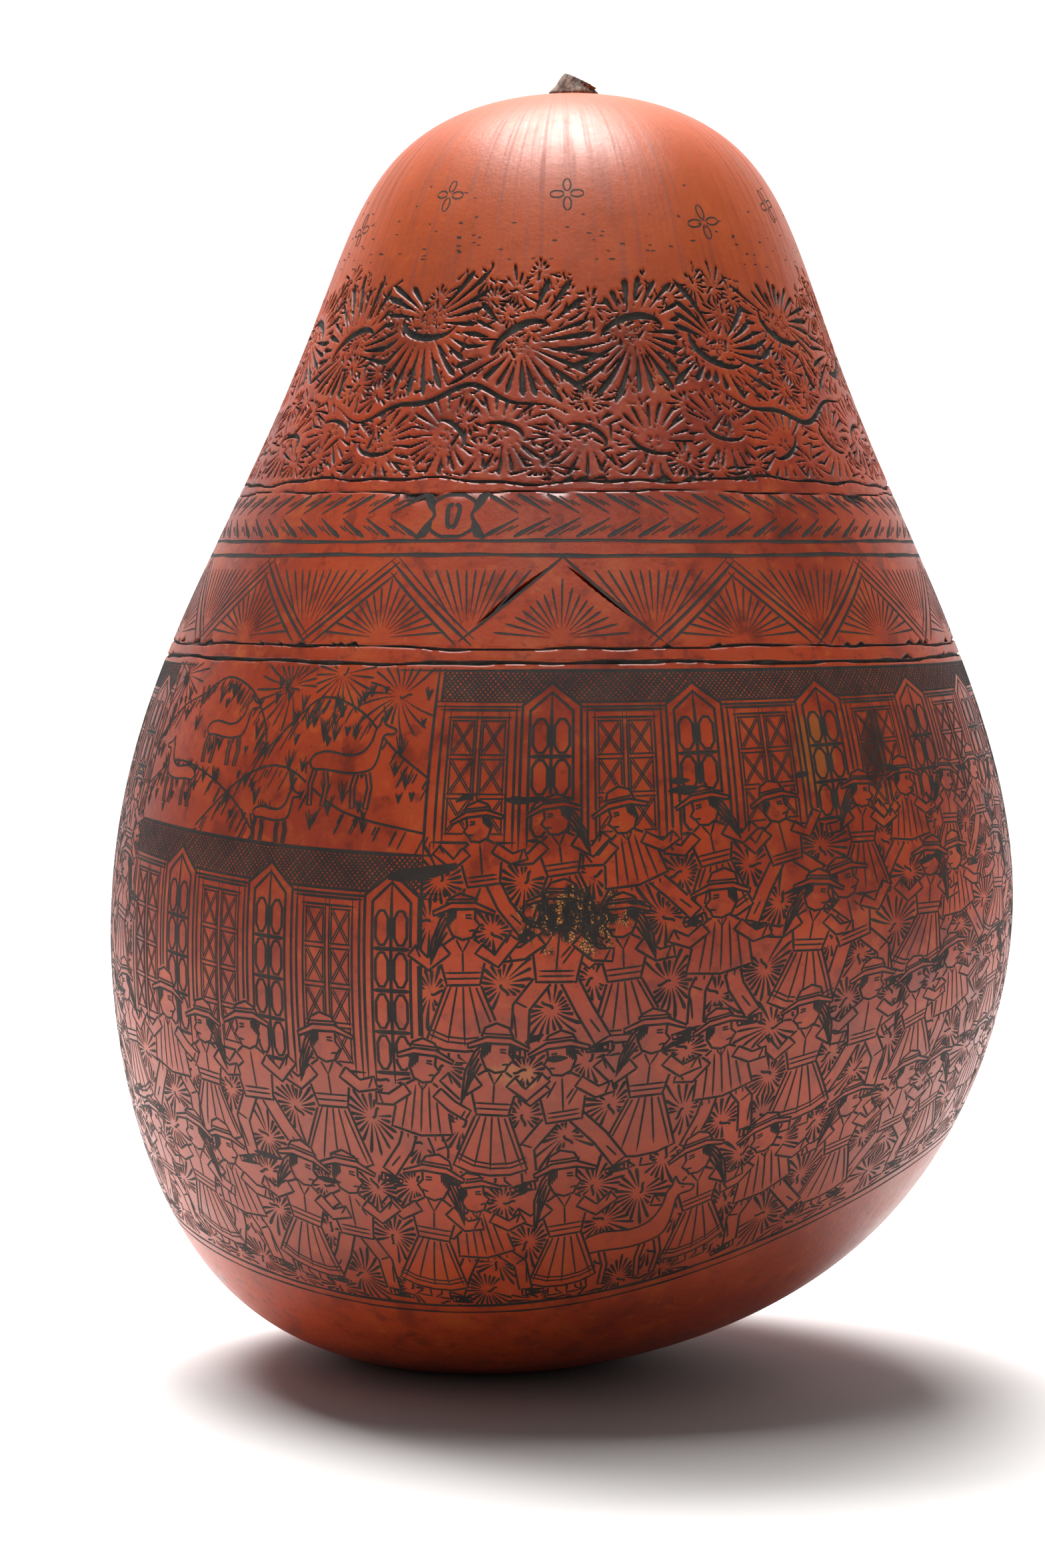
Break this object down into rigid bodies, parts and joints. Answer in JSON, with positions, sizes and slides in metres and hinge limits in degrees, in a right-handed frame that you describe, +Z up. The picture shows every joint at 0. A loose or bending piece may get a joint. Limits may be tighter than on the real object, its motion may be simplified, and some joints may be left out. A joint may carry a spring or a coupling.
{
  "type": "gourd rattle",
  "caption": "Pear-shaped dried gourd rattle with a stalk stub, narrow sound slits and loose seeds inside; it is held by its own neck and its rind is engraved in bands.",
  "frame": {"origin": "on the plane the worn foot rests on, under the centre of the bounding box, which is the gourd's own axis", "axes": "+Z up the gourd from its foot to its stalk, -Y towards the side with the sound slits, +X towards the side where the base rises"},
  "size_m": [0.097, 0.097, 0.1381],
  "materials": {
    "rind": "waxed red-brown gourd rind with soot-filled engraving",
    "stalk": "dry grey-brown bark with a dark cut end",
    "seed_coat": "dry papery seed coat"
  },
  "bodies": {
    "gourd": {"gourd_shell": "rind", "stem": "stalk"},
    "loose_seed_01": {"seed_01": "seed_coat"},
    "loose_seed_02": {"seed_02": "seed_coat"},
    "loose_seed_03": {"seed_03": "seed_coat"},
    "loose_seed_04": {"seed_04": "seed_coat"},
    "loose_seed_05": {"seed_05": "seed_coat"},
    "loose_seed_06": {"seed_06": "seed_coat"},
    "loose_seed_07": {"seed_07": "seed_coat"},
    "loose_seed_08": {"seed_08": "seed_coat"},
    "loose_seed_09": {"seed_09": "seed_coat"},
    "loose_seed_10": {"seed_10": "seed_coat"},
    "loose_seed_11": {"seed_11": "seed_coat"},
    "loose_seed_12": {"seed_12": "seed_coat"},
    "loose_seed_13": {"seed_13": "seed_coat"},
    "loose_seed_14": {"seed_14": "seed_coat"},
    "loose_seed_15": {"seed_15": "seed_coat"},
    "loose_seed_16": {"seed_16": "seed_coat"},
    "loose_seed_17": {"seed_17": "seed_coat"},
    "loose_seed_18": {"seed_18": "seed_coat"},
    "loose_seed_19": {"seed_19": "seed_coat"}
  },
  "joints": [
    {"name": "seed_01_rattle", "type": "slide", "parent": "gourd", "child": "loose_seed_01", "axis": [0, 0, 1], "range_m": [0, 0.125]},
    {"name": "seed_02_rattle", "type": "slide", "parent": "gourd", "child": "loose_seed_02", "axis": [0, 0, 1], "range_m": [0, 0.123]},
    {"name": "seed_03_rattle", "type": "slide", "parent": "gourd", "child": "loose_seed_03", "axis": [0, 0, 1], "range_m": [0, 0.12]},
    {"name": "seed_04_rattle", "type": "slide", "parent": "gourd", "child": "loose_seed_04", "axis": [0, 0, 1], "range_m": [0, 0.119]},
    {"name": "seed_05_rattle", "type": "slide", "parent": "gourd", "child": "loose_seed_05", "axis": [0, 0, 1], "range_m": [0, 0.115]},
    {"name": "seed_06_rattle", "type": "slide", "parent": "gourd", "child": "loose_seed_06", "axis": [0, 0, 1], "range_m": [0, 0.121]},
    {"name": "seed_07_rattle", "type": "slide", "parent": "gourd", "child": "loose_seed_07", "axis": [0, 0, 1], "range_m": [0, 0.122]},
    {"name": "seed_08_rattle", "type": "slide", "parent": "gourd", "child": "loose_seed_08", "axis": [0, 0, 1], "range_m": [0, 0.109]},
    {"name": "seed_09_rattle", "type": "slide", "parent": "gourd", "child": "loose_seed_09", "axis": [0, 0, 1], "range_m": [0, 0.104]},
    {"name": "seed_10_rattle", "type": "slide", "parent": "gourd", "child": "loose_seed_10", "axis": [0, 0, 1], "range_m": [0, 0.1]},
    {"name": "seed_11_rattle", "type": "slide", "parent": "gourd", "child": "loose_seed_11", "axis": [0, 0, 1], "range_m": [0, 0.092]},
    {"name": "seed_12_rattle", "type": "slide", "parent": "gourd", "child": "loose_seed_12", "axis": [0, 0, 1], "range_m": [0, 0.092]},
    {"name": "seed_13_rattle", "type": "slide", "parent": "gourd", "child": "loose_seed_13", "axis": [0, 0, 1], "range_m": [0, 0.088]},
    {"name": "seed_14_rattle", "type": "slide", "parent": "gourd", "child": "loose_seed_14", "axis": [0, 0, 1], "range_m": [0, 0.088]},
    {"name": "seed_15_rattle", "type": "slide", "parent": "gourd", "child": "loose_seed_15", "axis": [0, 0, 1], "range_m": [0, 0.095]},
    {"name": "seed_16_rattle", "type": "slide", "parent": "gourd", "child": "loose_seed_16", "axis": [0, 0, 1], "range_m": [0, 0.094]},
    {"name": "seed_17_rattle", "type": "slide", "parent": "gourd", "child": "loose_seed_17", "axis": [0, 0, 1], "range_m": [0, 0.104]},
    {"name": "seed_18_rattle", "type": "slide", "parent": "gourd", "child": "loose_seed_18", "axis": [0, 0, 1], "range_m": [0, 0.107]},
    {"name": "seed_19_rattle", "type": "slide", "parent": "gourd", "child": "loose_seed_19", "axis": [0, 0, 1], "range_m": [0, 0.109]}
  ]
}
